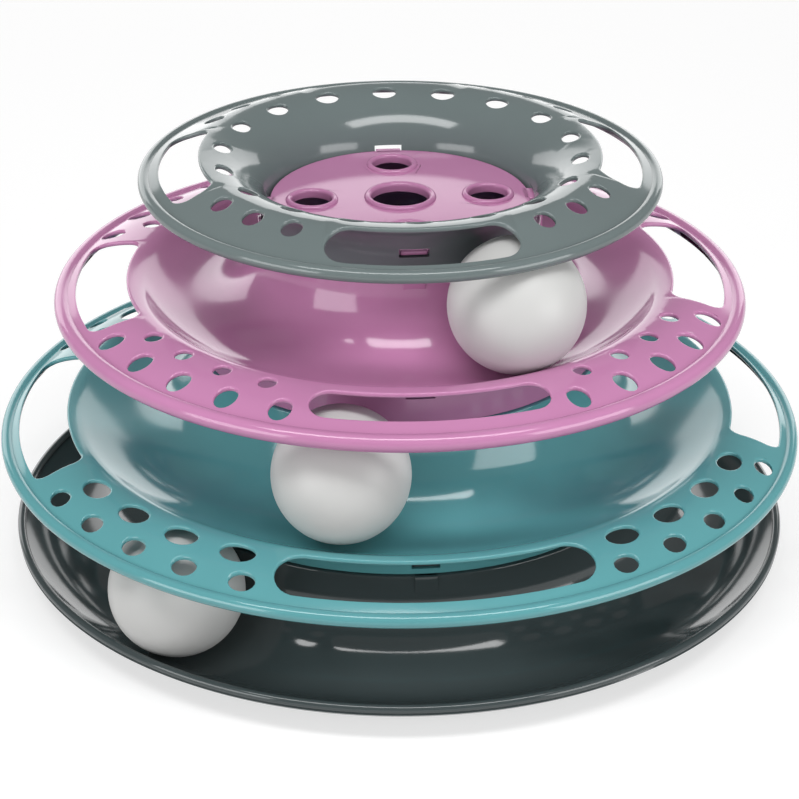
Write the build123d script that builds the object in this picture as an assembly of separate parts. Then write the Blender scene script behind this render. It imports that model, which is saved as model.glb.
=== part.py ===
# Cat ball track tower: a base tray and three stacked tiers, with a loose ball on each of the three tracks.
# Sizes are millimetres and angles are degrees. Angles round the tower count from the front, -Y, towards +X.
import os
from math import asin, atan2, cos, degrees, hypot, radians, sin, sqrt, tan

from build123d import *

# Walls, clearances and cuts
wall = 2.0
seat_clearance = 0.3
ball_gap = 0.3
cut_overrun = 5.0

# Balls, each two half shells with a lap seam
ball_diameter = 40.0
ball_wall = 1.4
lap_height = 1.2
lap_clearance = 0.1
lap_wall_share = 0.5
seam_tilt = 60.0

# Rubber feet and their sockets
foot_count = 6
foot_diameter = 12.0
foot_stand = 0.9
foot_edge = 0.4
foot_clearance = 0.1
socket_depth = 0.8
socket_roof = 0.4
socket_wall = 2.0

# Shapes that the tiers share
crest_round = 8.0
bead_joint_angle = 130.0
window_corner = 4.0
outer_hole_count = 5
inner_hole_count = 4

# Hub: the wall beside a track, the shoulder that carries the skirt above, the spigot and its top disc
hub_ease = 0.8
skirt_drop = 11.0
disc_drop = 8.3
shoulder_ledge = 1.0
spigot_round = 1.0
disc_hole_count = 4
disc_pitch_share = 0.665
disc_hole = 12.0
disc_bead = 2.0
centre_hole = 17.5
centre_bead = 2.2
collar_depth = 3.0

# Snap fit of a skirt on the spigot inside it
snap_count = 4
tab_width = 7.0
tab_height = 1.4
tab_engagement_share = 0.7
tab_side_clearance = 0.4
snap_window_headroom = 1.5
rib_width = 6.8
rib_height = 5.5
rib_depth = 0.5

# Base tray
base_track_radius = 102.3
base_track_to_rim = 19.5
base_rim_rise = 6.2
base_bead_radius = 1.3
base_hub_draft = 3.0
base_ball_angle = -44.8

# Lower tier
lower_crest_offset = 0.7
lower_headroom = 0.5
lower_flange_width = 22.0
lower_crest_rise = 7.6
lower_bead_radius = 2.1
lower_crest_to_track = 19.0
lower_track_ease = 14.4
lower_hub_draft = 3.0
lower_ball_angle = -16.9
lower_slot_inset = 2.2
lower_slot_width = 12.8
lower_slot_half_angle = 23.5
lower_window_inset = 1.2
lower_window_width = 15.0
lower_window_half_angle = 19.8
lower_outer_hole_inset = 8.9
lower_outer_hole_first_angle = 27.8
lower_outer_hole_step_angle = 9.28
lower_outer_hole_large = 7.4
lower_outer_hole_small = 4.6
lower_inner_hole_inset = 3.6
lower_inner_hole_first_angle = 31.0
lower_inner_hole_step_angle = 10.45
lower_inner_hole_large = 10.4
lower_inner_hole_small = 8.2
lower_inner_hole_share = 0.68

# Middle tier
middle_crest_offset = -0.5
middle_headroom = 2.4
middle_flange_width = 22.5
middle_crest_rise = 6.2
middle_bead_radius = 2.6
middle_crest_to_track = 19.5
middle_track_ease = 1.4
middle_hub_draft = 5.0
middle_ball_angle = 25.8
middle_slot_inset = 3.5
middle_slot_width = 10.7
middle_slot_half_angle = 21.3
middle_window_inset = 0.3
middle_window_width = 15.5
middle_window_half_angle = 19.5
middle_outer_hole_inset = 10.3
middle_outer_hole_first_angle = 26.0
middle_outer_hole_step_angle = 10.4
middle_outer_hole = 7.0
middle_inner_hole_inset = 2.7
middle_inner_hole_first_angle = 30.8
middle_inner_hole_step_angle = 10.4
middle_inner_hole = 5.0

# Upper tier, an open ring
upper_crest_offset = -4.0
upper_headroom = 1.0
upper_flange_width = 19.0
upper_crest_rise = 7.4
upper_bead_radius = 2.0
upper_slot_inset = 3.2
upper_slot_width = 10.3
upper_slot_half_angle = 23.5
upper_window_inset = 0.7
upper_window_width = 12.0
upper_window_half_angle = 22.0
upper_outer_hole_inset = 14.4
upper_outer_hole_first_angle = 33.6
upper_outer_hole_step_angle = 12.2
upper_outer_hole = 6.2
upper_outer_hole_count = 3
upper_ring_inset = 6.1
upper_ring_hole = 7.6
upper_ring_count = 18

ball_radius = ball_diameter / 2
hub_arc = ball_radius + hub_ease
upright = (Align.CENTER, Align.CENTER, Align.MIN)
hanging = (Align.CENTER, Align.CENTER, Align.MAX)


def polar(centre, radius, angle):
    """Point at an angle round a centre, in a section or in plan."""
    return centre[0] + radius * cos(radians(angle)), centre[1] + radius * sin(radians(angle))


def heading(start, end):
    """Angle of the way from one point to another."""
    return degrees(atan2(end[1] - start[1], end[0] - start[0]))


def at_angle(angle, radius=0, height=0):
    """Place turned round the tower from the front, at a radius and a height."""
    return Rot(0, 0, angle) * Pos(0, -radius, height)


def around(count, radius=0, height=0):
    """Places spaced evenly round the tower, the first at the front."""
    return [at_angle(turn * 360 / count, radius, height) for turn in range(count)]


def graded(first, last, count):
    """Sizes that change evenly along a row."""
    return [first + (last - first) * step / (count - 1) for step in range(count)]


# Stacking: radii run inwards from the base track, and each crest clears the ball below it

def flange_line(bead_centre, bead_radius, crest_centre):
    """Ends of a flange's upper line: over the bead's middle, and tangent to the crest."""
    joint = polar(bead_centre, bead_radius, bead_joint_angle)
    distance = hypot(crest_centre[0] - joint[0], crest_centre[1] - joint[1])
    way = heading(joint, crest_centre) - degrees(asin(crest_round / distance))
    tangent = polar(joint, sqrt(distance**2 - crest_round**2), way)
    start = polar(joint, (bead_centre[0] - joint[0]) / cos(radians(way)), way)
    return start, tangent


def flange_clear(track, crest_radius, headroom, flange_width, crest_rise, bead_radius):
    """Height of a crest whose flange clears the ball on the track below by the headroom."""
    low_centre = (0, -crest_round)
    tangent = flange_line((flange_width - bead_radius, -crest_rise), bead_radius, low_centre)[1]
    normal = radians(heading(low_centre, tangent))
    reach = ball_radius + headroom + wall - crest_round
    lift = (reach - cos(normal) * (crest_radius - track[0])) / sin(normal)
    return track[1] + ball_gap + ball_radius + crest_round + lift


def track_clear(track, crest_radius, headroom, crest_to_track, track_ease):
    """Height of a crest whose own track clears the ball on the track below by the headroom."""
    outer_arc = ball_radius + track_ease
    across = track[0] - crest_radius + crest_to_track
    reach = sqrt((outer_arc + wall + ball_radius + headroom) ** 2 - across**2)
    rise = sqrt((outer_arc + crest_round) ** 2 - crest_to_track**2)
    return track[1] + ball_gap + ball_radius + crest_round + reach - rise


def track_below_crest(crest, crest_to_track, track_ease):
    """Lowest point of a track whose outer wall runs into the crest's round."""
    arcs = ball_radius + track_ease + crest_round
    return crest[0] - crest_to_track, crest[1] - arcs + sqrt(arcs**2 - crest_to_track**2)


def shoulder_under(rim_above, track, draft):
    """Point on a hub's wall where the skirt of the tier above rests."""
    height = rim_above[1] - skirt_drop
    arc_top = polar((track[0], track[1] + hub_arc), hub_arc, draft - 180)
    return arc_top[0] - (height - arc_top[1]) * tan(radians(draft)), height


base_track = (base_track_radius, foot_stand + socket_depth + socket_roof + wall)
lower_crest_radius = base_track[0] + lower_crest_offset
lower_crest = (lower_crest_radius, max(
    flange_clear(base_track, lower_crest_radius, lower_headroom,
                 lower_flange_width, lower_crest_rise, lower_bead_radius),
    track_clear(base_track, lower_crest_radius, lower_headroom, lower_crest_to_track, lower_track_ease)))
lower_track = track_below_crest(lower_crest, lower_crest_to_track, lower_track_ease)
middle_crest_radius = lower_track[0] + middle_crest_offset
middle_crest = (middle_crest_radius, max(
    flange_clear(lower_track, middle_crest_radius, middle_headroom,
                 middle_flange_width, middle_crest_rise, middle_bead_radius),
    track_clear(lower_track, middle_crest_radius, middle_headroom, middle_crest_to_track, middle_track_ease)))
middle_track = track_below_crest(middle_crest, middle_crest_to_track, middle_track_ease)
upper_crest_radius = middle_track[0] + upper_crest_offset
upper_crest = (upper_crest_radius, flange_clear(
    middle_track, upper_crest_radius, upper_headroom,
    upper_flange_width, upper_crest_rise, upper_bead_radius))
lower_rim = (lower_crest[0] + lower_flange_width, lower_crest[1] - lower_crest_rise)
middle_rim = (middle_crest[0] + middle_flange_width, middle_crest[1] - middle_crest_rise)
upper_rim = (upper_crest[0] + upper_flange_width, upper_crest[1] - upper_crest_rise)
base_shoulder = shoulder_under(lower_rim, base_track, base_hub_draft)
lower_shoulder = shoulder_under(middle_rim, lower_track, lower_hub_draft)
middle_shoulder = shoulder_under(upper_rim, middle_track, middle_hub_draft)


def skirt_radius(shoulder):
    """Inner radius of the skirt that rests on a shoulder."""
    return shoulder[0] - shoulder_ledge - wall


def spigot_radius(shoulder):
    """Radius of the spigot above a shoulder, inside the skirt."""
    return skirt_radius(shoulder) - seat_clearance


def disc_height(shoulder):
    """Height of the disc on top of a spigot."""
    return shoulder[1] + skirt_drop - disc_drop


# Sections, drawn as radius and height and spun about the tower's axis

def spun(*faces):
    """Solid of revolution from the faces of a section."""
    return revolve(Plane.XZ * (Sketch() + list(faces)), Axis.Z)


def flange_edges(rim, bead_radius, crest, crest_end):
    """Edges of a flange, from inside its bead to the given angle on its crest, above and below."""
    bead_centre = (rim[0] - bead_radius, rim[1])
    crest_centre = (crest[0], crest[1] - crest_round)
    start, tangent = flange_line(bead_centre, bead_radius, crest_centre)
    normal = heading(crest_centre, tangent)
    under_start = polar(start, wall, normal - 180)
    under_tangent = polar(tangent, wall, normal - 180)
    return [
        Line(under_start, start),
        Line(start, tangent),
        CenterArc(crest_centre, crest_round, normal, crest_end - normal),
        CenterArc(crest_centre, crest_round - wall, normal, crest_end - normal),
        Line(under_tangent, under_start),
    ]


def bead_face(rim, bead_radius):
    """Round section of a rolled rim."""
    return Pos(rim[0] - bead_radius, rim[1]) * Circle(bead_radius)


def hub_edges(track, draft, shoulder):
    """Edges from the bottom of a track up its hub to the axis, and back inside the hub."""
    centre = (track[0], track[1] + hub_arc)
    arc_top = polar(centre, hub_arc, draft - 180)
    inner_arc_top = polar(centre, hub_arc + wall, draft - 180)
    spigot = spigot_radius(shoulder)
    top = disc_height(shoulder)
    bench = shoulder[1] - wall
    inner_bench = inner_arc_top[0] - (bench - inner_arc_top[1]) * tan(radians(draft))
    return [
        CenterArc(centre, hub_arc, -90, draft - 90),
        Polyline(arc_top, shoulder, (spigot, shoulder[1]), (spigot, top - spigot_round)),
        CenterArc((spigot - spigot_round, top - spigot_round), spigot_round, 0, 90),
        Polyline((spigot - spigot_round, top), (0, top), (0, top - wall), (spigot - wall, top - wall),
                 (spigot - wall, bench), (inner_bench, bench), inner_arc_top),
        CenterArc(centre, hub_arc + wall, draft - 180, 90 - draft),
    ]


def tier_section(rim, bead_radius, crest, track, track_ease, draft, shoulder):
    """Faces of a tier with a track: its shell and its bead."""
    outer_arc = ball_radius + track_ease
    outer_centre = (track[0], track[1] + outer_arc)
    turn = heading((crest[0], crest[1] - crest_round), outer_centre)
    edges = flange_edges(rim, bead_radius, crest, turn)
    for radius in (outer_arc, outer_arc + wall):
        edges.append(CenterArc(outer_centre, radius, turn - 180, 90 - turn))
    edges += hub_edges(track, draft, shoulder)
    return make_face(edges), bead_face(rim, bead_radius)


def skirt_face(track, shoulder_below):
    """Section of the skirt that hangs from a track onto the shoulder below."""
    inner = skirt_radius(shoulder_below)
    outer = inner + wall
    bottom = shoulder_below[1]
    track_rise = hub_arc - sqrt(hub_arc**2 - (track[0] - inner) ** 2)
    top = track[1] + track_rise - wall / 2
    return make_face(Polyline((inner, bottom), (outer, bottom), (outer, top), (inner, top), close=True))


# Cut-outs, drawn in plan

def slots(inner_radius, width, half_angle):
    """Round-ended slots along the flange at the front and the back."""
    middle = inner_radius + width / 2
    reach = half_angle - degrees(width / 2 / middle)
    slot = SlotArc(CenterArc((0, 0), middle, -90 - reach, 2 * reach), width)
    return [Rot(0, 0, turn) * slot for turn in (0, 180)]


def windows(inner_radius, width, half_angle):
    """Large windows with rounded corners at both sides."""
    outer_radius = inner_radius + width
    ends = [
        Line(polar((0, 0), inner_radius, angle), polar((0, 0), outer_radius, angle))
        for angle in (-half_angle, half_angle)
    ]
    arcs = [CenterArc((0, 0), radius, -half_angle, 2 * half_angle) for radius in (inner_radius, outer_radius)]
    outline = make_face(ends + arcs)
    window = fillet(outline.vertices(), window_corner)
    return [Rot(0, 0, turn) * window for turn in (0, 180)]


def hole_rows(radius, first, step, widths, depth_share=1.0):
    """Rows of holes beside the front and back slots, mirrored on both sides."""
    holes = []
    for number, width in enumerate(widths):
        outline = Circle(width / 2) if depth_share == 1.0 else Ellipse(width / 2, depth_share * width / 2)
        angle = first + number * step
        holes += [at_angle(turn, radius) * outline for turn in (angle, -angle, 180 + angle, 180 - angle)]
    return holes


def cut_flange(tier, outlines, crest, crest_rise):
    """Tier with plan outlines cut straight down through its flange."""
    depth = crest_rise + 2 * cut_overrun
    return tier - extrude(Pos(0, 0, crest[1] - crest_rise - cut_overrun) * (Sketch() + outlines), depth)


def snap_windows(shoulder_below):
    """Cutters for the windows in a skirt that catch the tabs of the spigot inside it."""
    height = tab_height + seat_clearance + snap_window_headroom
    bottom = disc_height(shoulder_below) - tab_height - seat_clearance
    cutter = Box(tab_width + 2 * tab_side_clearance, wall + 2 * cut_overrun, height)
    places = around(snap_count, skirt_radius(shoulder_below) + wall / 2, bottom + height / 2)
    return [place * cutter for place in places]


# Features on a hub

def snap_tabs(shoulder):
    """Tabs at the edge of a spigot's top, reaching into the skirt's windows."""
    reach = seat_clearance + tab_engagement_share * wall
    tab = Box(tab_width, wall + reach, tab_height)
    radius = spigot_radius(shoulder) + (reach - wall) / 2
    return [place * tab for place in around(snap_count, radius, disc_height(shoulder) - tab_height / 2)]


def stop_ribs(shoulder, draft):
    """Wedge ribs under the shoulder, in line with the tabs."""
    low_radius = shoulder[0] + rib_height * tan(radians(draft))
    top, bottom = shoulder[1], shoulder[1] - rib_height
    outline = Polyline((wall / 2 - shoulder[0], top), (-shoulder[0] - rib_depth, top), (-low_radius, bottom),
                       (wall / 2 - low_radius, bottom), close=True)
    rib = extrude(Plane.YZ * make_face(outline), rib_width / 2, both=True)
    return [place * rib for place in around(snap_count)]


def disc_bores(shoulder):
    """Places, widths and bead widths of the holes in a hub's top disc."""
    height = disc_height(shoulder)
    places = around(disc_hole_count, disc_pitch_share * spigot_radius(shoulder), height)
    bores = [(place, disc_hole, disc_bead) for place in places]
    return bores + [(Pos(0, 0, height), centre_hole, centre_bead)]


def with_hub_features(shell, shoulder, draft):
    """Shell with its hub's tabs, ribs and beaded disc holes."""
    added = snap_tabs(shoulder) + stop_ribs(shoulder, draft)
    bored = []
    for place, width, bead in disc_bores(shoulder):
        collar = Cylinder(width / 2 + bead, collar_depth + wall / 2, align=hanging)
        added += [place * Torus((width + bead) / 2, bead / 2), place * Pos(0, 0, -wall / 2) * collar]
        bored.append(place * Cylinder(width / 2, 2 * (collar_depth + wall + cut_overrun)))
    return shell + added - bored


# Pieces

def base_tray():
    """Dish with a rolled rim, the hub that carries the lower tier, and sockets for the feet."""
    rim = (base_track[0] + base_track_to_rim, base_track[1] + base_rim_rise)
    width = base_track_to_rim - base_bead_radius
    dish_arc = (width**2 + base_rim_rise**2) / (2 * base_rim_rise)
    centre = (base_track[0], base_track[1] + dish_arc)
    end = polar(centre, dish_arc, -90 + degrees(asin(width / dish_arc)))
    under_end = polar(centre, dish_arc + wall, heading(centre, end))
    sweep = heading(centre, end) + 90
    edges = [CenterArc(centre, radius, -90, sweep) for radius in (dish_arc, dish_arc + wall)]
    edges += [Line(end, under_end)] + hub_edges(base_track, base_hub_draft, base_shoulder)
    shell = spun(make_face(edges), bead_face(rim, base_bead_radius))
    tray = with_hub_features(shell, base_shoulder, base_hub_draft)
    socket_radius = foot_diameter / 2 + foot_clearance
    boss = Cylinder(socket_radius + socket_wall, base_track[1] - socket_roof - foot_stand, align=upright)
    socket = Cylinder(socket_radius, socket_depth, align=upright)
    places = around(foot_count, base_track[0], foot_stand)
    return tray + [place * boss for place in places] - [place * socket for place in places]


def feet():
    """Rubber pads with a rounded lower edge, seated in their sockets."""
    pad = Cylinder(foot_diameter / 2, foot_stand + socket_depth, align=upright)
    pad = fillet(pad.edges().sort_by(Axis.Z)[0], foot_edge)
    return [place * pad for place in around(foot_count, base_track[0])]


def lower_tier():
    """Teal tier: flange with graded holes, wide open track, hub and skirt."""
    shell = spun(*tier_section(lower_rim, lower_bead_radius, lower_crest, lower_track, lower_track_ease,
                               lower_hub_draft, lower_shoulder), skirt_face(lower_track, base_shoulder))
    outlines = slots(lower_crest[0] + lower_slot_inset, lower_slot_width, lower_slot_half_angle)
    outlines += windows(lower_crest[0] + lower_window_inset, lower_window_width, lower_window_half_angle)
    outer_widths = graded(lower_outer_hole_large, lower_outer_hole_small, outer_hole_count)
    outlines += hole_rows(lower_rim[0] - lower_outer_hole_inset,
                          lower_outer_hole_first_angle, lower_outer_hole_step_angle, outer_widths)
    inner_widths = graded(lower_inner_hole_large, lower_inner_hole_small, inner_hole_count)
    outlines += hole_rows(lower_crest[0] + lower_inner_hole_inset,
                          lower_inner_hole_first_angle, lower_inner_hole_step_angle,
                          inner_widths, lower_inner_hole_share)
    shell = cut_flange(shell, outlines, lower_crest, lower_crest_rise) - snap_windows(base_shoulder)
    return with_hub_features(shell, lower_shoulder, lower_hub_draft)


def middle_tier():
    """Pink tier: flange with even holes, closer track, hub with the disc that shows, and skirt."""
    shell = spun(*tier_section(middle_rim, middle_bead_radius, middle_crest, middle_track, middle_track_ease,
                               middle_hub_draft, middle_shoulder), skirt_face(middle_track, lower_shoulder))
    outlines = slots(middle_crest[0] + middle_slot_inset, middle_slot_width, middle_slot_half_angle)
    outlines += windows(middle_crest[0] + middle_window_inset, middle_window_width, middle_window_half_angle)
    outer_widths = [middle_outer_hole] * outer_hole_count
    outlines += hole_rows(middle_rim[0] - middle_outer_hole_inset,
                          middle_outer_hole_first_angle, middle_outer_hole_step_angle, outer_widths)
    inner_widths = [middle_inner_hole] * inner_hole_count
    outlines += hole_rows(middle_crest[0] + middle_inner_hole_inset,
                          middle_inner_hole_first_angle, middle_inner_hole_step_angle, inner_widths)
    shell = cut_flange(shell, outlines, middle_crest, middle_crest_rise) - snap_windows(lower_shoulder)
    return with_hub_features(shell, middle_shoulder, middle_hub_draft)


def upper_tier():
    """Grey top ring: flange, and a bowl wall that turns down into the skirt."""
    bowl_arc = upper_crest[0] - skirt_radius(middle_shoulder)
    centre = (upper_crest[0], upper_crest[1] - bowl_arc)
    edges = flange_edges(upper_rim, upper_bead_radius, upper_crest, 90)
    edges += [CenterArc(centre, radius, 90, 90) for radius in (bowl_arc, bowl_arc - wall)]
    low = centre[1] - skirt_drop
    inner, outer = centre[0] - bowl_arc, centre[0] - bowl_arc + wall
    edges.append(Polyline((inner, centre[1]), (inner, low), (outer, low), (outer, centre[1])))
    ring = spun(make_face(edges), bead_face(upper_rim, upper_bead_radius))
    below = Cylinder(upper_crest[0], upper_crest[1], align=hanging)
    outlines = slots(upper_crest[0] + upper_slot_inset, upper_slot_width, upper_slot_half_angle)
    outlines += windows(upper_crest[0] + upper_window_inset, upper_window_width, upper_window_half_angle)
    outer_widths = [upper_outer_hole] * upper_outer_hole_count
    outlines += hole_rows(upper_rim[0] - upper_outer_hole_inset,
                          upper_outer_hole_first_angle, upper_outer_hole_step_angle, outer_widths)
    ring_places = around(upper_ring_count, upper_crest[0] - upper_ring_inset)
    outlines += [place * Circle(upper_ring_hole / 2) for place in ring_places]
    ring = cut_flange(ring - Pos(0, 0, middle_shoulder[1]) * below, outlines, upper_crest, upper_crest_rise)
    return ring - snap_windows(middle_shoulder)


def ball_halves():
    """Front and back half shells of a ball, about its own centre with the seam level."""
    inner = ball_radius - ball_wall
    lap = inner + lap_wall_share * ball_wall
    shell = Sphere(ball_radius) - Sphere(inner)
    front = split(shell, Plane.XY, keep=Keep.TOP)
    back = split(shell, Plane.XY, keep=Keep.BOTTOM)
    tongue = Cylinder(lap - lap_clearance, lap_height, align=upright)
    tongue -= Cylinder(inner, lap_height, align=upright)
    return front - Cylinder(lap, lap_height + lap_clearance, align=upright), back + tongue


def ball_place(track, angle):
    """Place of a ball that rests on a track, with its seam tilted."""
    x, y = polar((0, 0), track[0], angle - 90)
    return Pos(x, y, track[1] + ball_gap + ball_radius) * Rot(seam_tilt, 0, 0)


pieces = {
    "base_tray": base_tray(),
    "lower_tier": lower_tier(),
    "middle_tier": middle_tier(),
    "upper_tier": upper_tier(),
}
tracks = {
    "base": (base_track, base_ball_angle),
    "lower": (lower_track, lower_ball_angle),
    "middle": (middle_track, middle_ball_angle),
}
front_half, back_half = ball_halves()
for level, (track, angle) in tracks.items():
    pieces[f"{level}_ball_front"] = ball_place(track, angle) * front_half
    pieces[f"{level}_ball_back"] = ball_place(track, angle) * back_half
for number, foot in enumerate(feet(), start=1):
    pieces[f"foot_{number}"] = foot

os.makedirs("parts", exist_ok=True)
for name, piece in pieces.items():
    export_step(piece, f"parts/{name}.step")
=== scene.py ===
from math import acos, asin, atan2, cos, degrees, hypot, pi, radians, sin, sqrt, tan

import bmesh
import bpy
from mathutils import Matrix, Vector
from mathutils.kdtree import KDTree


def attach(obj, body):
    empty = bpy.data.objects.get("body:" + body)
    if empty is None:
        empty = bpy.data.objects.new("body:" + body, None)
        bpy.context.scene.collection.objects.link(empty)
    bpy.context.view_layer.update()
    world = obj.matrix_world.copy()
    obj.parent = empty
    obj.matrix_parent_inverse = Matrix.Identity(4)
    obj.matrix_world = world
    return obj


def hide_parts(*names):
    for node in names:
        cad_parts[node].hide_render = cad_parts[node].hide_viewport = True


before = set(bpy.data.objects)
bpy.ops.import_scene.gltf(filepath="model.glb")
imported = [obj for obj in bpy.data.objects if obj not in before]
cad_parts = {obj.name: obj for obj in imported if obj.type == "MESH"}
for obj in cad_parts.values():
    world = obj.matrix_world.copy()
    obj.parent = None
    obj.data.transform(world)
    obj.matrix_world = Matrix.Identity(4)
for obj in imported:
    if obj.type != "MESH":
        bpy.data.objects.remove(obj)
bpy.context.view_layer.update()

# Base tray: the dark grey dish that stands on the floor and holds the lowest track.
# It is injection moulded in one piece with the hub in its middle, whose flat top
# has four beaded holes and one in the centre, and sockets underneath for rubber feet.

mm = 0.001
front = -90
quarters = (0, 90, 180, 270)
columns = 360
smooth_angle = 35
repeat_gap = 1e-4
merge_distance = 2e-6
wall = 2.0
soft_edge = 0.3
# Track and rim are a radius and a height, and the bead along the rim is a radius.
tray_track = (102.3, 4.1)
tray_rim = (121.8, 10.3)
tray_bead = 1.3
rim_tuck = 0.2
# The shoulder is a radius, its height and the height of the disc inside it.
hub_arc = 20.8
hub_round = 0.4
shoulder_flare = 0.02
spigot_inset = 3.3
tray_draft = 3.0
tray_shoulder = (81.216, 29.772, 33.372)
tray_disc_rows = [14.0] + [41.0 + 3.6 * step for step in range(7)] + [76.0]
tray_hole_reach = 12
centre_hole, centre_bead, centre_margin = 17.5, 2.2, 0.25
disc_hole, disc_bead, disc_margins = 12.0, 2.0, (1.0, 0.2)
disc_hole_share = 0.68
disc_band = (3, 1)
bore_top = 1.0
# Tabs and ribs are width, depth and height.
tab_size, tab_edge, tab_reach = (7.9, 3.7, 1.4), 0.3, 1.7
rib_size, rib_edge, rib_step = (6.8, 2.0, 5.5), 0.25, 0.5
foot_count = 6
foot_ring = 102.3
socket_steps = 48
foot_socket = [(0.0, 1.7), (6.1, 1.7), (6.1, 1.1), (6.3, 0.9), (7.8, 0.9), (8.1, 1.2), (8.1, 3.2), (0.0, 3.2)]
tray_colour = (0.050, 0.065, 0.067)
tray_roughness = 0.09


def on_circle(centre, radius, angle):
    """Point at an angle round a centre, in millimetres and degrees."""
    return centre[0] + radius * cos(radians(angle)), centre[1] + radius * sin(radians(angle))


def arc(centre, radius, start, end, steps):
    """Points along an arc of a section, with both its ends."""
    return [on_circle(centre, radius, start + (end - start) * step / steps) for step in range(steps + 1)]


def straight(start, end, steps):
    """Points along a straight run of a section, with both its ends."""
    return [(start[0] + (end[0] - start[0]) * step / steps, start[1] + (end[1] - start[1]) * step / steps)
            for step in range(steps + 1)]


def without_repeats(points):
    """Outline without points that repeat the one before."""
    kept = [points[0]]
    for point in points[1:]:
        if hypot(point[0] - kept[-1][0], point[1] - kept[-1][1]) > repeat_gap:
            kept.append(point)
    return kept


def start_piece(name):
    """New piece in edit mode, drawn in to a single point at the origin."""
    bpy.ops.object.select_all(action="DESELECT")
    bpy.ops.mesh.primitive_plane_add(size=mm)
    piece = bpy.context.object
    piece.name = piece.data.name = name
    bpy.ops.object.mode_set(mode="EDIT")
    bpy.ops.mesh.select_all(action="SELECT")
    bpy.ops.mesh.merge(type="CENTER")
    return piece


def close_piece():
    """Merge a piece's doubles, turn its faces outwards and leave edit mode."""
    bpy.ops.mesh.select_all(action="SELECT")
    bpy.ops.mesh.remove_doubles(threshold=merge_distance)
    bpy.ops.mesh.normals_make_consistent(inside=False)
    bpy.ops.object.mode_set(mode="OBJECT")


def turned(name, outline, steps=columns, centre=(0, 0, 0), axis=(0, 0, 1), side=(1, 0, 0)):
    """Piece turned from a closed outline of radii and heights about an axis through a centre."""
    piece = start_piece(name)
    centre, axis, side = [Vector(part) for part in (centre, axis, side)]
    points = [(centre + side * radius + axis * height) * mm for radius, height in outline]
    bpy.ops.transform.translate(value=points[0])
    for last, point in zip(points, points[1:] + points[:1]):
        bpy.ops.mesh.extrude_vertices_move(TRANSFORM_OT_translate={"value": point - last})
    bpy.ops.mesh.select_all(action="SELECT")
    bpy.ops.mesh.spin(steps=steps, angle=2 * pi, center=centre * mm, axis=axis)
    close_piece()
    return piece


def joined(piece, others):
    """One piece from several, with shared borders merged and faces turned outwards."""
    bpy.ops.object.select_all(action="DESELECT")
    for part in [piece] + others:
        part.select_set(True)
    bpy.context.view_layer.objects.active = piece
    bpy.ops.object.join()
    bpy.ops.object.mode_set(mode="EDIT")
    close_piece()
    return piece


def polar_place(point):
    """Radius in millimetres and angle in degrees of a point round the tower's axis."""
    return hypot(point.x, point.y) / mm, degrees(atan2(point.y, point.x))


def turn_between(angle, middle):
    """Angle measured from a middle, between -180 and 180 degrees."""
    return (angle - middle + 180) % 360 - 180


def take_out(piece, blocks):
    """Delete the faces inside blocks of the turned grid.

    A block is a middle angle, a first and last column, and the limits of its radius and height.
    """
    bpy.ops.object.select_all(action="DESELECT")
    bpy.context.view_layer.objects.active = piece
    bpy.ops.object.mode_set(mode="EDIT")
    bpy.ops.mesh.select_mode(type="FACE")
    bpy.ops.mesh.select_all(action="DESELECT")
    mesh = bmesh.from_edit_mesh(piece.data)
    for face in mesh.faces:
        place = face.calc_center_median()
        radius, angle = polar_place(place)
        face.select = any(
            inner < radius < outer
            and low < place.z / mm < high
            and first < turn_between(angle, middle) < last
            for middle, first, last, inner, outer, low, high in blocks)
    bmesh.update_edit_mesh(piece.data)
    bpy.ops.mesh.delete(type="FACE")
    bpy.ops.mesh.select_mode(type="VERT")
    bpy.ops.object.mode_set(mode="OBJECT")


def sleeve(name, loops):
    """Open sleeve that passes through loops of points, which all have the same count."""
    bpy.ops.object.select_all(action="DESELECT")
    bpy.ops.mesh.primitive_circle_add(vertices=len(loops[0]), radius=mm)
    piece = bpy.context.object
    piece.name = piece.data.name = name
    for vertex, point in zip(piece.data.vertices, loops[0]):
        vertex.co = Vector(point) * mm
    bpy.ops.object.mode_set(mode="EDIT")
    bpy.ops.mesh.select_all(action="SELECT")
    for last, loop in zip(loops, loops[1:]):
        bpy.ops.mesh.extrude_edges_move()
        tree = KDTree(len(last))
        for number, point in enumerate(last):
            tree.insert(Vector(point) * mm, number)
        tree.balance()
        mesh = bmesh.from_edit_mesh(piece.data)
        for vertex in mesh.verts:
            if vertex.select:
                vertex.co = Vector(loop[tree.find(vertex.co)[1]]) * mm
        bmesh.update_edit_mesh(piece.data)
    bpy.ops.object.mode_set(mode="OBJECT")
    return piece


def block_border(middle, first, last, rows, height):
    """Points round a block of the turned grid, from its inner first corner and along its inner row."""
    border = [(rows[0], column) for column in range(first, last)]
    border += [(row, last) for row in rows[:-1]]
    border += [(rows[-1], column) for column in range(last, first, -1)]
    border += [(row, first) for row in rows[:0:-1]]
    return [(*on_circle((0, 0), row, middle + column), height(row)) for row, column in border]


def ring_points(middle, radius, width, depth, count=240):
    """Outline of a round or oval hole, from its innermost point, that runs as a block's border does."""
    ring = []
    for step in range(count):
        turn = 2 * pi * step / count
        out, along = radius - depth / 2 * cos(turn), width / 2 * sin(turn)
        across = radians(middle)
        ring.append((out * cos(across) - along * sin(across), out * sin(across) + along * cos(across)))
    return ring


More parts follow.
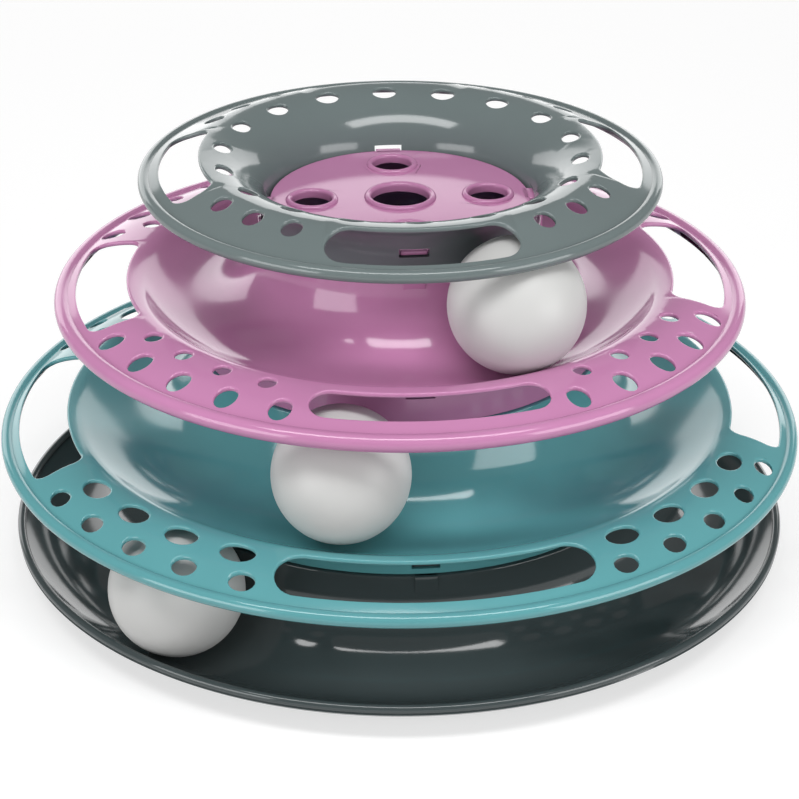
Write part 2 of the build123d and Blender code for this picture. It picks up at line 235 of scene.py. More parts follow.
def spaced(outline, count, first_side):
    """Points spaced evenly along a closed outline, set so that the block's inner row faces its start."""
    lengths = [0]
    for here, there in zip(outline, outline[1:] + outline[:1]):
        lengths.append(lengths[-1] + hypot(there[0] - here[0], there[1] - here[1]))
    points, place = [], 0
    marks = sorted(((step - first_side / 2) / count % 1 * lengths[-1], step) for step in range(count))
    for mark, step in marks:
        while lengths[place + 1] <= mark:
            place += 1
        share = (mark - lengths[place]) / (lengths[place + 1] - lengths[place])
        here, there = outline[place], outline[(place + 1) % len(outline)]
        point = (here[0] + (there[0] - here[0]) * share, here[1] + (there[1] - here[1]) * share)
        points.append((step, point))
    return [point for step, point in sorted(points)]


def widened(outline, gap):
    """Closed outline moved outwards by a gap, square to itself."""
    moved = []
    for number, (x, y) in enumerate(outline):
        before, after = outline[number - 1], outline[(number + 1) % len(outline)]
        along = (after[0] - before[0], after[1] - before[1])
        length = hypot(*along)
        moved.append((x - gap * along[1] / length, y + gap * along[0] / length))
    return moved


def at_height(outline, height):
    """Outline in plan set on a surface whose height depends on the radius."""
    return [(x, y, height(hypot(x, y))) for x, y in outline]


def bore_points(hole, bead, disc):
    """Section of a hole in a disc: over its bead, down its bore and round the softened lower edge."""
    bore, below = hole / 2, disc - wall
    points = arc((bore + bead / 2, disc), bead / 2, 0, 180, 8)
    points += [(bore, disc - bore_top), (bore, below + soft_edge), (bore + soft_edge, below)]
    return points + [(bore + bead, below)]


def beaded_hole(name, middle, radius, disc, rows, first, last):
    """Lining of a hole in a hub's disc, from the block of the grid that it fills to the underside."""
    border = block_border(middle, first, last, rows, lambda place: disc)
    steps = [(disc_hole / 2 + disc_bead + margin, disc) for margin in disc_margins]
    steps += bore_points(disc_hole, disc_bead, disc)
    loops = [border]
    for ring, height in steps:
        plan = spaced(ring_points(middle, radius, 2 * ring, 2 * ring), len(border), last - first)
        loops.append(at_height(plan, lambda place, height=height: height))
    loops.append(block_border(middle, first, last, rows, lambda place: disc - wall))
    return sleeve(name, loops)


def spigot_radius(shoulder):
    """Radius of the spigot that rises inside a hub's shoulder."""
    return shoulder[0] - spigot_inset


def hub_outline(track, draft, shoulder, disc_rows):
    """Section of a hub from the bottom of its track over its disc to the foot of the centre hole."""
    centre = (track[0], track[1] + hub_arc)
    arc_top = on_circle(centre, hub_arc, draft - 180)
    spigot, disc = spigot_radius(shoulder), shoulder[2]
    points = arc(centre, hub_arc, -90, draft - 180, 18)
    points += straight(arc_top, (shoulder[0] + shoulder_flare, shoulder[1] - hub_round), 4)
    points += arc((shoulder[0] - hub_round, shoulder[1] - hub_round), hub_round, 0, 90, 3)
    points += straight((shoulder[0] - hub_round, shoulder[1]), (spigot, shoulder[1]), 2)
    points += arc((spigot - hub_round, disc - hub_round), hub_round, 0, 90, 4)
    points += [(row, disc) for row in reversed(disc_rows)]
    points += [(centre_hole / 2 + centre_bead + centre_margin, disc)]
    return points + bore_points(centre_hole, centre_bead, disc)


def hub_inside(track, draft, shoulder, disc_rows):
    """Section inside a hub, from under its disc down to the turn of the track's wall."""
    centre = (track[0], track[1] + hub_arc)
    ceiling, bench = shoulder[2] - wall, shoulder[1] - wall
    spigot_inner = spigot_radius(shoulder) - wall
    inner_top = on_circle(centre, hub_arc + wall, draft - 180)
    bench_end = inner_top[0] - (bench - inner_top[1]) * tan(radians(draft))
    points = [(row, ceiling) for row in disc_rows]
    return points + [(spigot_inner, ceiling), (spigot_inner, bench), (bench_end, bench), inner_top]


def with_disc_holes(piece, shoulder, disc_rows, reach):
    """Hub with its four beaded holes, spaced evenly from the front."""
    disc = shoulder[2]
    rows = disc_rows[1:-1]
    radius = disc_hole_share * spigot_radius(shoulder)
    middles = [front + turn for turn in quarters]
    low, high = disc - disc_band[0], disc + disc_band[1]
    take_out(piece, [(middle, -reach, reach, rows[0], rows[-1], low, high) for middle in middles])
    linings = [beaded_hole(piece.name + "_hole", middle, radius, disc, rows, -reach, reach)
               for middle in middles]
    return joined(piece, linings)


def small_block(name, size, edge):
    """Block with softened edges, its middle at the origin."""
    bpy.ops.object.select_all(action="DESELECT")
    bpy.ops.mesh.primitive_cube_add(size=mm)
    piece = bpy.context.object
    piece.name = piece.data.name = name
    bpy.ops.object.mode_set(mode="EDIT")
    bpy.ops.mesh.select_all(action="SELECT")
    bpy.ops.transform.resize(value=size)
    bpy.ops.mesh.bevel(offset=edge * mm, segments=3, affect="EDGES")
    bpy.ops.object.mode_set(mode="OBJECT")
    return piece


def copies_around(piece, radius, height):
    """Four copies of a small block round the tower, the first at the front."""
    copies = []
    for turn in quarters:
        mesh = piece.data.copy()
        outwards = Matrix.Translation((0, -radius * mm, height * mm))
        mesh.transform(Matrix.Rotation(radians(turn), 4, "Z") @ outwards)
        copy = bpy.data.objects.new(piece.name, mesh)
        bpy.context.collection.objects.link(copy)
        copies.append(copy)
    bpy.data.objects.remove(piece)
    return copies


def with_tabs_and_ribs(piece, shoulder, draft):
    """Hub with its snap tabs at the top of the spigot and the wedge ribs below its shoulder."""
    tab = small_block("tab", tab_size, tab_edge)
    tab_radius = spigot_radius(shoulder) + tab_reach - tab_size[1] / 2
    tabs = copies_around(tab, tab_radius, shoulder[2] - tab_size[2] / 2)
    rib = small_block("rib", rib_size, rib_edge)
    lean = rib_size[2] * tan(radians(draft))
    for vertex in rib.data.vertices:
        rise = vertex.co.z / (rib_size[2] * mm) + 0.5
        vertex.co.y += (rise * (lean - rib_step) - lean) * mm
    ribs = copies_around(rib, shoulder[0] - rib_size[1] / 2, shoulder[1] - rib_size[2] / 2)
    return joined(piece, tabs + ribs)


def moulded_plastic(name, colour, roughness, grain=0.04):
    """Injection moulded plastic: faint flow clouding, a fine skin and slightly uneven gloss."""
    material = bpy.data.materials.new(name)
    material.use_nodes = True
    nodes, links = material.node_tree.nodes, material.node_tree.links
    shader = nodes["Principled BSDF"]
    shader.inputs["IOR"].default_value = 1.5
    place = nodes.new("ShaderNodeTexCoord")
    clouds = nodes.new("ShaderNodeTexNoise")
    clouds.inputs["Scale"].default_value = 22
    clouds.inputs["Detail"].default_value = 4
    links.new(place.outputs["Object"], clouds.inputs["Vector"])
    tint = nodes.new("ShaderNodeValToRGB")
    darker, lighter = tint.color_ramp.elements
    darker.position, lighter.position = 0.3, 0.7
    darker.color = (*[value * (1 - grain) for value in colour], 1)
    lighter.color = (*[value * (1 + grain) for value in colour], 1)
    links.new(clouds.outputs["Fac"], tint.inputs["Fac"])
    links.new(tint.outputs["Color"], shader.inputs["Base Color"])
    gloss = nodes.new("ShaderNodeMapRange")
    gloss.inputs["To Min"].default_value = roughness * 0.9
    gloss.inputs["To Max"].default_value = roughness * 1.1
    links.new(clouds.outputs["Fac"], gloss.inputs["Value"])
    links.new(gloss.outputs["Result"], shader.inputs["Roughness"])
    skin = nodes.new("ShaderNodeTexNoise")
    skin.inputs["Scale"].default_value = 160
    skin.inputs["Detail"].default_value = 3
    links.new(place.outputs["Object"], skin.inputs["Vector"])
    bump = nodes.new("ShaderNodeBump")
    bump.inputs["Strength"].default_value = 0.02
    bump.inputs["Distance"].default_value = 0.0004
    links.new(skin.outputs["Fac"], bump.inputs["Height"])
    links.new(bump.outputs["Normal"], shader.inputs["Normal"])
    return material


def finished(piece, material, body, slot, *nodes):
    """Smooth a piece, give it its material and body, and let it stand for its nodes."""
    bpy.ops.object.select_all(action="DESELECT")
    piece.select_set(True)
    bpy.context.view_layer.objects.active = piece
    bpy.ops.object.shade_smooth_by_angle(angle=radians(smooth_angle))
    piece.data.materials.clear()
    piece.data.materials.append(material)
    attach(piece, body)
    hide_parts(*nodes)


def tray_outline():
    """Section of the tray: rim bead, dish, hub, and back underneath to the rim."""
    bead_centre = (tray_rim[0] - tray_bead, tray_rim[1])
    width, rise = bead_centre[0] - tray_track[0], bead_centre[1] - tray_track[1]
    dish = (width ** 2 + rise ** 2) / (2 * rise)
    centre = (tray_track[0], tray_track[1] + dish)
    sweep = degrees(asin(width / dish))
    points = arc(bead_centre, tray_bead, sweep - 90, sweep + 180, 22)
    points += arc(centre, dish, sweep - 90 - degrees(tray_bead / dish), -90, 14)[1:]
    points += hub_outline(tray_track, tray_draft, tray_shoulder, tray_disc_rows)
    points += hub_inside(tray_track, tray_draft, tray_shoulder, tray_disc_rows)
    hub_centre = (tray_track[0], tray_track[1] + hub_arc)
    points += arc(hub_centre, hub_arc + wall, tray_draft - 180, -90, 14)
    underside = arc(centre, dish + wall, -90, sweep - 90, 10)
    points += underside[:-1] + [on_circle(centre, dish + wall - rim_tuck, sweep - 90)]
    return without_repeats(points)


tray = turned("tray_moulding", tray_outline())
tray = with_disc_holes(tray, tray_shoulder, tray_disc_rows, tray_hole_reach)
tray = with_tabs_and_ribs(tray, tray_shoulder, tray_draft)
sockets = []
for turn in range(foot_count):
    x, y = on_circle((0, 0), foot_ring, front + turn * 360 / foot_count)
    sockets.append(turned("socket", foot_socket, socket_steps, (x, y, 0)))
tray = joined(tray, sockets)
tray_plastic = moulded_plastic("dark_grey_moulding", tray_colour, tray_roughness)
finished(tray, tray_plastic, "tower", "dark_grey_plastic", "base_tray")

# Feet: six soft rubber pads under the tray, each with a rounded lower edge.
# They are pressed into the sockets and keep the toy from sliding on a hard floor.

rubber_colour = (0.10, 0.10, 0.10)
rubber_roughness = 0.7
rubber_dust = 0.15
rubber_tooth = 0.3


def soft_rubber(name):
    """Matt grey rubber with a fine tooth and faint dust."""
    material = moulded_plastic(name, rubber_colour, rubber_roughness, rubber_dust)
    bump = material.node_tree.nodes["Bump"]
    bump.inputs["Strength"].default_value = rubber_tooth
    return material


rubber = soft_rubber("foot_rubber")
for number in range(1, foot_count + 1):
    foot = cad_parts[f"foot_{number}"]
    foot.data.materials.clear()
    foot.data.materials.append(rubber)

# Lower tier: the teal ring whose flange roofs the tray's track and whose own trough is the second track.
# One moulding: rolled rim, arched flange cut with slots, windows and oval holes, trough, hub and skirt.
# Its skirt slides over the tray's spigot and snaps on four tabs.

plate = 1.4
lip, lip_margin, lip_turns = 0.5, 0.25, (0, 30, 60, 90)
cut_depth, cut_top = 4, 200
window_margin = 0.5
crest_round = 8.0
bead_joint = 130
skirt_overlap = 0.4
lower_crest = (103.0, 48.37)
lower_rim = (125.0, 40.77)
lower_bead = 2.1
lower_arch = 31.5
lower_track = (84.0, 43.88)
lower_arc = 34.4
lower_draft = 3.0
lower_shoulder = (62.936, 69.177, 79.177)
lower_rows = [101.6 + 1.94 * step for step in range(5)] + [111.3 + 1.98 * step for step in range(6)]
lower_disc_rows = [14.0] + [30.4 + 3.4 * step for step in range(7)] + [57.6]
lower_hole_reach = 15
# The skirt is its inner radius, the height of its foot and the heights of its windows.
lower_skirt = (78.216, 29.772, (31.67, 34.57))
lower_window_reach = 3
# A cut-out is its inner and outer radius, half angle and corner, and its block is columns and rows.
lower_slot, lower_slot_block = (104.0, 118.6, 23.5, 7.2), (-25, 25, 0, 10)
lower_opening, lower_opening_block = (104.2, 119.2, 19.8, 4.0), (-22, 22, 0, 10)
lower_colour = (0.105, 0.330, 0.352)
lower_roughness = 0.10


def flange_shape(rim, bead, crest, arch):
    """Foot, tangent point and direction of a flange's straight run between its bead and arched crest."""
    arch_centre = (crest[0], crest[1] - arch)
    joint = on_circle((rim[0] - bead, rim[1]), bead, bead_joint)
    distance = hypot(arch_centre[0] - joint[0], arch_centre[1] - joint[1])
    way = degrees(atan2(arch_centre[1] - joint[1], arch_centre[0] - joint[0]))
    way -= degrees(asin(arch / distance))
    tangent = on_circle(joint, sqrt(distance ** 2 - arch ** 2), way)
    return joint, tangent, way


def flange_height(rim, bead, crest, arch, inner, depth):
    """Height of a flange at a radius, arched outside its crest and rounded inside it, below its top."""
    joint, tangent, way = flange_shape(rim, bead, crest, arch)
    normal = way - 90
    foot, end = on_circle(joint, -depth, normal), on_circle(tangent, -depth, normal)

    def height(radius):
        if radius >= end[0]:
            return end[1] + (radius - end[0]) * (foot[1] - end[1]) / (foot[0] - end[0])
        turn = arch if radius >= crest[0] else inner
        return crest[1] - turn + sqrt((turn - depth) ** 2 - (radius - crest[0]) ** 2)

    return height


def flange_faces(rim, bead, crest, arch, inner):
    """Heights of a flange's upper and lower faces, each as a function of the radius."""
    return [flange_height(rim, bead, crest, arch, inner, depth) for depth in (0, plate)]


def bead_points(rim, bead, crest, arch):
    """Points round a rim's bead, from where the flange's underside meets it to where its upper side does."""
    normal = flange_shape(rim, bead, crest, arch)[-1] - 90
    below = bead * cos(radians(bead_joint - normal)) - plate
    start = normal + degrees(acos(below / bead))
    return arc((rim[0] - bead, rim[1]), bead, start, bead_joint + 360, 30)


def skirt_points(inner, low, high, window):
    """Section of a skirt from its outer top round its foot to its inner top."""
    outer = inner + wall
    heights = [low + soft_edge, *window]
    down = [(outer, high)] + [(outer, height) for height in reversed(heights)]
    up = [(inner, height) for height in heights] + [(inner, high + skirt_overlap)]
    return down + [(outer - soft_edge, low), (inner + soft_edge, low)] + up


def tier_outline(rim, bead, crest, arch, track, outer_arc, draft, shoulder, rows, disc_rows, skirt):
    """Section of a tier: bead, flange, crest, trough, hub, and back underneath with its skirt."""
    crest_centre = (crest[0], crest[1] - crest_round)
    outer_centre = (track[0], track[1] + outer_arc)
    hub_centre = (track[0], track[1] + hub_arc)
    turn = degrees(atan2(outer_centre[1] - crest_centre[1], outer_centre[0] - crest_centre[0]))
    above, below = flange_faces(rim, bead, crest, arch, crest_round)
    points = bead_points(rim, bead, crest, arch) + [(row, above(row)) for row in reversed(rows)]
    start = degrees(acos((rows[0] - crest[0]) / crest_round))
    points += arc(crest_centre, crest_round, start, turn, 6)[1:]
    points += arc(outer_centre, outer_arc, turn - 180, -90, 20)[1:]
    points += hub_outline(track, draft, shoulder, disc_rows)[1:]
    points += hub_inside(track, draft, shoulder, disc_rows)
    inner, low, window = skirt

    def hub_turn(radius):
        return -180 + degrees(acos((track[0] - radius) / (hub_arc + wall)))

    points += arc(hub_centre, hub_arc + wall, draft - 180, hub_turn(inner), 12)
    high = on_circle(hub_centre, hub_arc + wall, hub_turn(inner + wall))[1]
    points += list(reversed(skirt_points(inner, low, high, window)))
    points += arc(hub_centre, hub_arc + wall, hub_turn(inner + wall), -90, 3)[1:]
    points += arc(outer_centre, outer_arc + wall, -90, turn - 180, 14)
    start = degrees(acos((rows[0] - crest[0]) / (crest_round - wall)))
    points += arc(crest_centre, crest_round - wall, turn, start, 5)[1:-1]
    points += [(row, below(row)) for row in rows]
    return without_repeats(points)


def softened_block(middle, inner, outer, half_angle, corner, count=600):
    """Outline of a slot or window along the flange, with round corners, from the middle of its inner side."""
    radius = (inner + outer) / 2
    half_width, half_depth = radians(half_angle) * radius, (outer - inner) / 2
    runs = [[(0, -half_depth), (half_width - corner, -half_depth)]]
    for across, up, start in ((1, -1, -90), (1, 1, 0), (-1, 1, 90), (-1, -1, 180)):
        centre = (across * (half_width - corner), up * (half_depth - corner))
        runs.append(arc(centre, corner, start, start + 90, 24))
    runs.append([(corner - half_width, -half_depth), (0, -half_depth)])
    flat = without_repeats([point for run in runs for point in run])[:-1]
    dense = spaced(flat, count, 0)
    return [on_circle((0, 0), radius + up, middle + degrees(across / radius)) for across, up in dense]


def slots_and_openings(slot, slot_block, opening, opening_block):
    """Slots at the front and back and openings at the sides, each with its block of the flange."""
    cutouts = []
    for side in (front, front + 180):
        cutouts.append((softened_block(side, *slot), side, *slot_block))
        cutouts.append((softened_block(side + 90, *opening), side + 90, *opening_block))
    return cutouts


def hole_row(radius, first, step, count, width, depth, low, high, gap):
    """Holes of a row beside the front and back slots on both sides, each with its block of the flange."""
    holes = []
    reach = degrees((width / 2 + gap) / radius)
    for number in range(count):
        turn = first + number * step
        for angle in (front + turn, front - turn, 180 + front + turn, 180 + front - turn):
            middle = round(angle)
            start, end = round(angle - middle - reach), round(angle - middle + reach)
            holes.append((ring_points(angle, radius, width, depth), middle, start, end, low, high))
    return holes


def lined_hole(name, outline, middle, first, last, rows, above, below):
    """Lining of a cut-out in a flange: rounded lips above and below and the wall between them."""
    top = block_border(middle, first, last, rows, above)
    bottom = block_border(middle, first, last, rows, below)
    plan = spaced(outline, len(top), last - first)
    loops = [top, at_height(widened(plan, lip + lip_margin), above)]
    for turn in lip_turns:
        edge = widened(plan, lip * (1 - sin(radians(turn))))
        drop = lip * (1 - cos(radians(turn)))
        loops.append([(x, y, height - drop) for x, y, height in at_height(edge, above)])
    for turn in reversed(lip_turns):
        edge = widened(plan, lip * (1 - sin(radians(turn))))
        rise = lip * (1 - cos(radians(turn)))
        loops.append([(x, y, height + rise) for x, y, height in at_height(edge, below)])
    loops += [at_height(widened(plan, lip + lip_margin), below), bottom]
    return sleeve(name, loops)


def with_cutouts(piece, cutouts, rows, above, below):
    """Flange with its slots, openings and holes.

    A cut-out is an outline, a middle angle, a first and last column, and a first and last row.
    """
    blocks, linings = [], []
    for outline, middle, first, last, low, high in cutouts:
        floor_height = below(rows[high]) - cut_depth
        blocks.append((middle, first, last, rows[low], rows[high], floor_height, cut_top))
        cut_rows = rows[low:high + 1]
        linings.append(lined_hole(piece.name + "_cut", outline, middle, first, last, cut_rows, above, below))
    take_out(piece, blocks)
    return joined(piece, linings)


def straight_skirt(inner):
    """Radii of a straight skirt's outer and inner faces, the same at every height."""
    return (lambda height: inner + wall), (lambda height: inner)


def with_snap_windows(piece, window, reach, outside, inside):
    """Skirt with its four windows for the tabs of the spigot inside it."""
    middles = [front + turn for turn in quarters]
    limits = (inside(window[0]) - window_margin, outside(window[1]) + window_margin, *window)
    take_out(piece, [(middle, -reach, reach, *limits) for middle in middles])
    linings = []
    for middle in middles:
        loops = []
        for radius in (outside, inside):
            border = [(column, window[0]) for column in range(-reach, reach)]
            border += [(reach, window[0])] + [(column, window[1]) for column in range(reach, -reach, -1)]
            border += [(-reach, window[1])]
            loops.append([(*on_circle((0, 0), radius(height), middle + column), height)
                          for column, height in border])
        linings.append(sleeve(piece.name + "_window", loops))
    return joined(piece, linings)


lower_flange = (lower_rim, lower_bead, lower_crest, lower_arch)
lower = turned("teal_moulding", tier_outline(
    *lower_flange, lower_track, lower_arc, lower_draft, lower_shoulder, lower_rows, lower_disc_rows,
    lower_skirt))
cutouts = slots_and_openings(lower_slot, lower_slot_block, lower_opening, lower_opening_block)
cutouts += hole_row(radius=117.2, first=27.4, step=9.08, count=5, width=8.0, depth=5.4,
                    low=6, high=10, gap=1.0)
cutouts += hole_row(radius=108.1, first=30.3, step=10.13, count=4, width=11.0, depth=7.1,
                    low=1, high=6, gap=1.6)
lower = with_cutouts(lower, cutouts, lower_rows, *flange_faces(*lower_flange, crest_round))
lower = with_snap_windows(lower, lower_skirt[2], lower_window_reach, *straight_skirt(lower_skirt[0]))
lower = with_disc_holes(lower, lower_shoulder, lower_disc_rows, lower_hole_reach)
lower = with_tabs_and_ribs(lower, lower_shoulder, lower_draft)
lower_plastic = moulded_plastic("teal_moulding", lower_colour, lower_roughness)
finished(lower, lower_plastic, "tower", "teal_plastic", "lower_tier")

# Middle tier: the pink ring with the third track, moulded in one as the teal one is, but smaller.
# The beaded disc on its hub shows inside the top ring. Its skirt snaps over the teal hub's spigot.

middle_crest = (83.5, 91.38)
middle_rim = (106.0, 85.18)
middle_bead = 2.6
middle_arch = 41.0
middle_track = (64.0, 83.98)
middle_arc = 21.4
middle_draft = 5.0
middle_shoulder = (42.738, 109.152, 114.952)
middle_rows = [82.0 + 1.8 * step for step in range(5)] + [91.0 + 2.04 * step for step in range(6)]
middle_disc_rows = [13.0, 17.0, 20.2, 23.5, 26.8, 30.1, 33.4, 36.6, 38.2]
middle_hole_reach = 20
middle_skirt = (59.936, 69.177, (77.48, 80.38))
middle_window_reach = 4
middle_slot, middle_slot_block = (85.7, 97.3, 21.3, 5.7), (-22, 22, 1, 9)
middle_opening, middle_opening_block = (83.8, 99.3, 19.2, 4.0), (-20, 20, 0, 10)
middle_colour = (0.520, 0.215, 0.400)
middle_roughness = 0.11

middle_flange = (middle_rim, middle_bead, middle_crest, middle_arch)
middle = turned("pink_moulding", tier_outline(
    *middle_flange, middle_track, middle_arc, middle_draft, middle_shoulder, middle_rows, middle_disc_rows,
    middle_skirt))
cutouts = slots_and_openings(middle_slot, middle_slot_block, middle_opening, middle_opening_block)
cutouts += hole_row(radius=96.5, first=25.5, step=10.08, count=5, width=6.6, depth=7.8,
                    low=5, high=10, gap=1.0)
cutouts += hole_row(radius=86.8, first=30.8, step=10.05, count=4, width=5.2, depth=5.3,
                    low=0, high=5, gap=1.6)
middle = with_cutouts(middle, cutouts, middle_rows, *flange_faces(*middle_flange, crest_round))
middle = with_snap_windows(middle, middle_skirt[2], middle_window_reach, *straight_skirt(middle_skirt[0]))
middle = with_disc_holes(middle, middle_shoulder, middle_disc_rows, middle_hole_reach)
middle = with_tabs_and_ribs(middle, middle_shoulder, middle_draft)
middle_plastic = moulded_plastic("pink_moulding", middle_colour, middle_roughness)
finished(middle, middle_plastic, "tower", "pink_plastic", "middle_tier")

# Upper tier: the grey-green top ring, open in the middle, whose flange roofs the third track.
# Its bowl wall, ringed with holes, turns down into the skirt that snaps over the pink hub's spigot.

upper_crest = (60.0, 130.19)
upper_rim = (79.0, 122.79)
upper_bead = 2.0
upper_bowl = 20.262
bowl_end = 1.0
upper_rows = [48.6 + 2.12 * step for step in range(6)] + [60.3, 62.4, 64.5, 66.6, 68.8, 70.9, 73.0, 75.2]
# The skirt is the height of its foot and the heights of its windows.
upper_skirt = (109.152, (113.25, 116.15))
upper_window_reach = 6
upper_slot, upper_slot_block = (60.8, 73.9, 23.5, 6.55), (-26, 26, 5, 13)
upper_opening, upper_opening_block = (60.7, 72.7, 22.0, 4.0), (-24, 24, 5, 13)
# A ring hole is its radius from the axis, width and depth.
ring_hole, ring_hole_block, ring_hole_step = (54.0, 7.6, 5.0), (-6, 6, 0, 5), 20
upper_colour = (0.142, 0.176, 0.176)
upper_roughness = 0.11


def bowl_radius(height, depth=0):
    """Radius of the bowl's wall at a height, at a depth behind its face."""
    rise = max(height - upper_crest[1] + upper_bowl, 0)
    return upper_crest[0] - sqrt((upper_bowl - depth) ** 2 - rise ** 2)


def ring_outline(above, below):
    """Section of the top ring: bead, flange, bowl wall, skirt, and back underneath."""
    centre = (upper_crest[0], upper_crest[1] - upper_bowl)
    low, window = upper_skirt
    points = bead_points(upper_rim, upper_bead, upper_crest, crest_round)
    points += [(row, above(row)) for row in reversed(upper_rows)]
    start = degrees(acos((upper_rows[0] - centre[0]) / upper_bowl))
    bowl = arc(centre, upper_bowl, start, 180, 14)[1:]
    points += [point for point in bowl if point[1] > window[1] + bowl_end]
    heights = (window[1], window[0], low + soft_edge)
    points += [(bowl_radius(height), height) for height in heights]
    points += [(bowl_radius(low) + soft_edge, low), (bowl_radius(low, wall) - soft_edge, low)]
    points += [(bowl_radius(height, wall), height) for height in reversed(heights)]
    end = degrees(acos((upper_rows[0] - centre[0]) / (upper_bowl - wall)))
    back = arc(centre, upper_bowl - wall, 180, end, 14)[:-1]
    points += [point for point in back if point[1] > window[1] + bowl_end]
    points += [(row, below(row)) for row in upper_rows]
    return without_repeats(points)


upper_faces = flange_faces(upper_rim, upper_bead, upper_crest, crest_round, upper_bowl)
upper = turned("grey_moulding", ring_outline(*upper_faces))
cutouts = slots_and_openings(upper_slot, upper_slot_block, upper_opening, upper_opening_block)
cutouts += hole_row(radius=64.6, first=33.6, step=12.2, count=3, width=6.2, depth=6.2,
                    low=6, high=10, gap=1.4)
for turn in range(0, 360, ring_hole_step):
    cutouts.append((ring_points(front + turn, *ring_hole), front + turn, *ring_hole_block))
upper = with_cutouts(upper, cutouts, upper_rows, *upper_faces)
upper = with_snap_windows(upper, upper_skirt[1], upper_window_reach,
                          lambda height: bowl_radius(height, wall), bowl_radius)
upper_plastic = moulded_plastic("grey_green_moulding", upper_colour, upper_roughness)
finished(upper, upper_plastic, "tower", "grey_green_plastic", "upper_tier")

# Balls: three hollow off-white plastic balls, 40 mm across, one loose on each track.
# Each is two half shells that lap at the seam and are welded there, so a fine line runs round it.

ball = 20.0
ball_wall = 1.4
ball_steps = 96
ball_centres = {"base": (-72.1, -72.6, 24.4), "lower": (-24.4, -80.4, 64.18), "middle": (27.9, -57.6, 104.28)}
seam_tilt = 60
seam_axis = Vector((0, -sin(radians(seam_tilt)), cos(radians(seam_tilt))))
seam_side = Vector((1, 0, 0))
# The groove is cut a little way in at the seam, and the lap and tongue are depths and heights inside it.
groove_angle, groove = 0.6, 0.18
lap, lap_height, lap_angle = 0.7, 1.2, 4.0
tongue, tongue_height, tongue_gap = 0.8, 1.1, 0.05
ball_colour = (0.57, 0.57, 0.56)
ball_roughness = 0.42
ball_grain = 0.015


def front_half():
    """Section of the half with the outer lap, from its pole to the seam and back inside."""
    points = arc((0, 0), ball, 90, groove_angle, 32)
    points += [(ball - groove, 0.0), (ball - lap, 0.0), (ball - lap, lap_height)]
    return points + arc((0, 0), ball - ball_wall, lap_angle, 90, 24)


def back_half():
    """Section of the half with the inner tongue, from its pole to the seam and back inside."""
    points = arc((0, 0), ball, -90, -groove_angle, 32)
    points += [(ball - groove, -tongue_gap), (ball - tongue, -tongue_gap), (ball - tongue, tongue_height)]
    return points + [(ball - ball_wall, tongue_height)] + arc((0, 0), ball - ball_wall, 0, -90, 24)


ball_plastic = moulded_plastic("white_moulding", ball_colour, ball_roughness, ball_grain)
for level, centre in ball_centres.items():
    for side, section in (("front", front_half()), ("back", back_half())):
        outline = without_repeats(section)
        half = turned(f"{level}_{side}_shell", outline, ball_steps, centre, seam_axis, seam_side)
        finished(half, ball_plastic, f"{level}_ball", "white_plastic", f"{level}_ball_{side}")

# Studio: a pale floor that fades into white, a lit wall behind, a soft box on each side, a strip above
# the front, and the camera at the photograph's place.

floor_size = 3.0
floor_paint = (0.45, 0.45, 0.45, 1)
floor_glow = 0.62
sky_colour = (1, 1, 1, 1)
sky_strength = 0.25
camera_place = (-0.0674, -0.6873, 0.3967)
camera_down, camera_turn, camera_roll = 26.92, -5.6, 0.2
camera_lens, camera_sensor = 110.4, 36.0
camera_near, camera_far = 0.01, 20.0


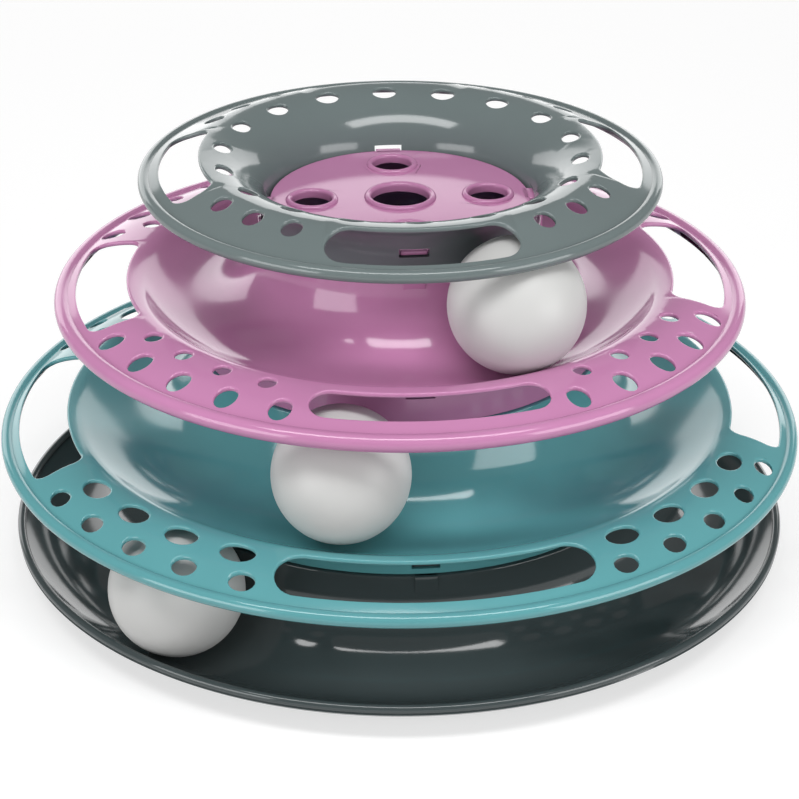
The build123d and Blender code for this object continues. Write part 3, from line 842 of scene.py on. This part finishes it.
def pale_floor():
    """Matt pale floor that keeps the object's shadow and shows white to the camera and in reflections."""
    material = bpy.data.materials.new("pale_floor")
    material.use_nodes = True
    nodes, links = material.node_tree.nodes, material.node_tree.links
    nodes.clear()
    output = nodes.new("ShaderNodeOutputMaterial")
    paint = nodes.new("ShaderNodeBsdfDiffuse")
    paint.inputs["Color"].default_value = floor_paint
    glow = nodes.new("ShaderNodeEmission")
    path = nodes.new("ShaderNodeLightPath")
    seen = nodes.new("ShaderNodeMath")
    seen.operation = "MAXIMUM"
    seen_too = nodes.new("ShaderNodeMath")
    seen_too.operation = "MAXIMUM"
    level = nodes.new("ShaderNodeMath")
    level.operation = "MULTIPLY"
    level.inputs[1].default_value = floor_glow
    both = nodes.new("ShaderNodeAddShader")
    links.new(path.outputs["Is Camera Ray"], seen.inputs[0])
    links.new(path.outputs["Is Glossy Ray"], seen.inputs[1])
    links.new(seen.outputs[0], seen_too.inputs[0])
    links.new(path.outputs["Is Transmission Ray"], seen_too.inputs[1])
    links.new(seen_too.outputs[0], level.inputs[0])
    links.new(level.outputs[0], glow.inputs["Strength"])
    links.new(paint.outputs[0], both.inputs[0])
    links.new(glow.outputs[0], both.inputs[1])
    links.new(both.outputs[0], output.inputs["Surface"])
    return material


bpy.ops.object.select_all(action="DESELECT")
bpy.ops.mesh.primitive_plane_add(size=floor_size)
floor = bpy.context.object
floor.name = "floor"
floor.data.materials.append(pale_floor())

world = bpy.data.worlds.new("studio")
bpy.context.scene.world = world
world.use_nodes = True
sky = world.node_tree.nodes["Background"]
sky.inputs["Color"].default_value = sky_colour
sky.inputs["Strength"].default_value = sky_strength


def soft_light(name, place, aim, width, height, power):
    """Soft box at a place, turned to face a point."""
    data = bpy.data.lights.new(name, "AREA")
    data.shape, data.size, data.size_y, data.energy = "RECTANGLE", width, height, power
    lamp = bpy.data.objects.new(name, data)
    lamp.location = place
    lamp.visible_camera = False
    lamp.rotation_euler = (Vector(aim) - Vector(place)).to_track_quat("-Z", "Y").to_euler()
    bpy.context.collection.objects.link(lamp)


soft_light("back_wall", place=(0.0, 1.25, 0.32), aim=(0, 0, 0.20), width=2.2, height=0.64, power=9.0)
soft_light("right_box", place=(0.752, -0.631, 0.25), aim=(0, 0, 0.08), width=0.6, height=0.5, power=4.4)
soft_light("left_box", place=(-0.811, -0.568, 0.22), aim=(0, 0, 0.08), width=0.6, height=0.5, power=4.4)
soft_light("top_strip", place=(-0.04, -0.34, 0.9), aim=(0, 0, 0.1), width=1.0, height=0.22, power=6.0)

camera = bpy.data.objects.new("camera", bpy.data.cameras.new("camera"))
bpy.context.collection.objects.link(camera)
camera.data.lens, camera.data.sensor_width = camera_lens, camera_sensor
camera.data.clip_start, camera.data.clip_end = camera_near, camera_far
camera.matrix_world = (Matrix.Translation(camera_place) @ Matrix.Rotation(radians(camera_turn), 4, "Z")
                       @ Matrix.Rotation(radians(90 - camera_down), 4, "X")
                       @ Matrix.Rotation(radians(camera_roll), 4, "Z"))
bpy.context.scene.camera = camera
bpy.context.scene.view_settings.view_transform = "Standard"
